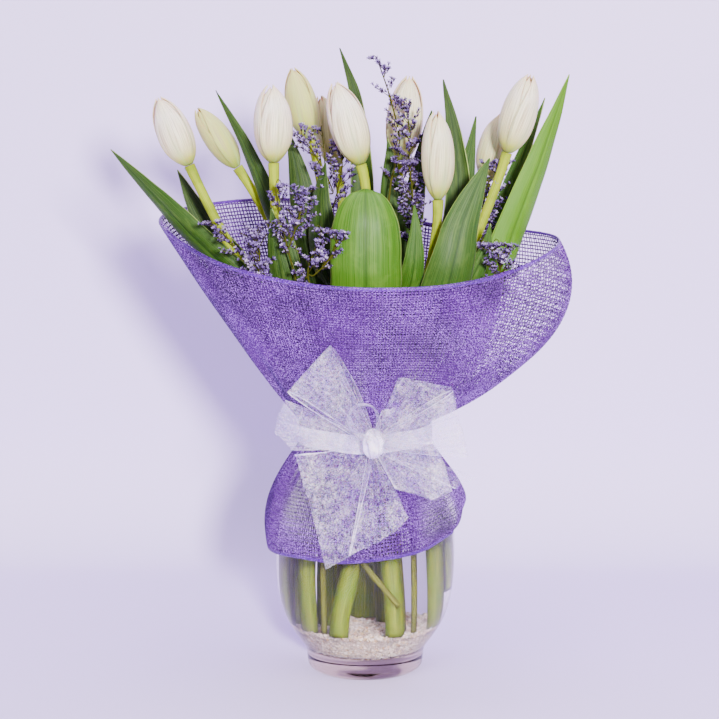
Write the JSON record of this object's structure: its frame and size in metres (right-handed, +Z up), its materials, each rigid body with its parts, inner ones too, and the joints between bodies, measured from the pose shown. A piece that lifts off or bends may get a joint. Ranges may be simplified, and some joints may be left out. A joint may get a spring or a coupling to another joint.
{
  "type": "tulips in a vase",
  "caption": "Closed white tulips with leaves and sea lavender in a clear footed glass vase with water and stones, in a purple net wrap tied with an organza bow.",
  "frame": {"origin": "centre of the vase's flat underside, on the surface that it stands on", "axes": "+Z up along the vase's axis; -Y is the front, where the bow is; +X is to the right seen from the front"},
  "size_m": [0.3137, 0.1766, 0.4292],
  "materials": {
    "clear_glass": "clear pressed glass, polished",
    "water": "clear still water",
    "crushed_stone": "fine off-white crushed stone with some tan grains",
    "tulip_stem": "smooth green plant stem",
    "tulip_leaf": "soft green leaf with fine lengthwise veins",
    "white_petal": "satin ivory petal, yellow-green at the base",
    "sea_lavender": "papery small flowers",
    "purple_net": "open woven net of flat plastic yarn",
    "white_organza": "sheer organza with a fine woven edge"
  },
  "bodies": {
    "root": {"vase": "clear_glass", "stones": "crushed_stone", "water": "water", "tulip_a_stem": "tulip_stem", "tulip_a_bloom": "white_petal", "tulip_b_stem": "tulip_stem", "tulip_b_bloom": "white_petal", "tulip_c_stem": "tulip_stem", "tulip_c_bloom": "white_petal", "tulip_d_stem": "tulip_stem", "tulip_d_bloom": "white_petal", "tulip_e_stem": "tulip_stem", "tulip_e_bloom": "white_petal", "tulip_f_stem": "tulip_stem", "tulip_f_bloom": "white_petal", "tulip_g_stem": "tulip_stem", "tulip_g_bloom": "white_petal", "tulip_h_stem": "tulip_stem", "tulip_h_bloom": "white_petal", "tulip_i_stem": "tulip_stem", "tulip_i_bloom": "white_petal", "tulip_j_stem": "tulip_stem", "tulip_j_bloom": "white_petal", "leaf_01": "tulip_leaf", "leaf_02": "tulip_leaf", "leaf_03": "tulip_leaf", "leaf_04": "tulip_leaf", "leaf_05": "tulip_leaf", "leaf_06": "tulip_leaf", "leaf_07": "tulip_leaf", "leaf_08": "tulip_leaf", "leaf_09": "tulip_leaf", "leaf_10": "tulip_leaf", "leaf_11": "tulip_leaf", "leaf_12": "tulip_leaf", "leaf_13": "tulip_leaf", "leaf_14": "tulip_leaf", "leaf_15": "tulip_leaf", "leaf_16": "tulip_leaf", "leaf_17": "tulip_leaf", "sea_lavender_01": "sea_lavender", "sea_lavender_02": "sea_lavender", "sea_lavender_03": "sea_lavender", "sea_lavender_04": "sea_lavender", "sea_lavender_05": "sea_lavender", "sea_lavender_06": "sea_lavender", "sea_lavender_07": "sea_lavender", "sea_lavender_08": "sea_lavender", "net_wrap": "purple_net", "ribbon_band": "white_organza", "ribbon_knot": "white_organza", "ribbon_loop_upper_left": "white_organza", "ribbon_loop_upper_right": "white_organza", "ribbon_loop_left": "white_organza", "ribbon_loop_lower_right": "white_organza", "ribbon_tail_left": "white_organza", "ribbon_tail_right": "white_organza"}
  },
  "joints": []
}
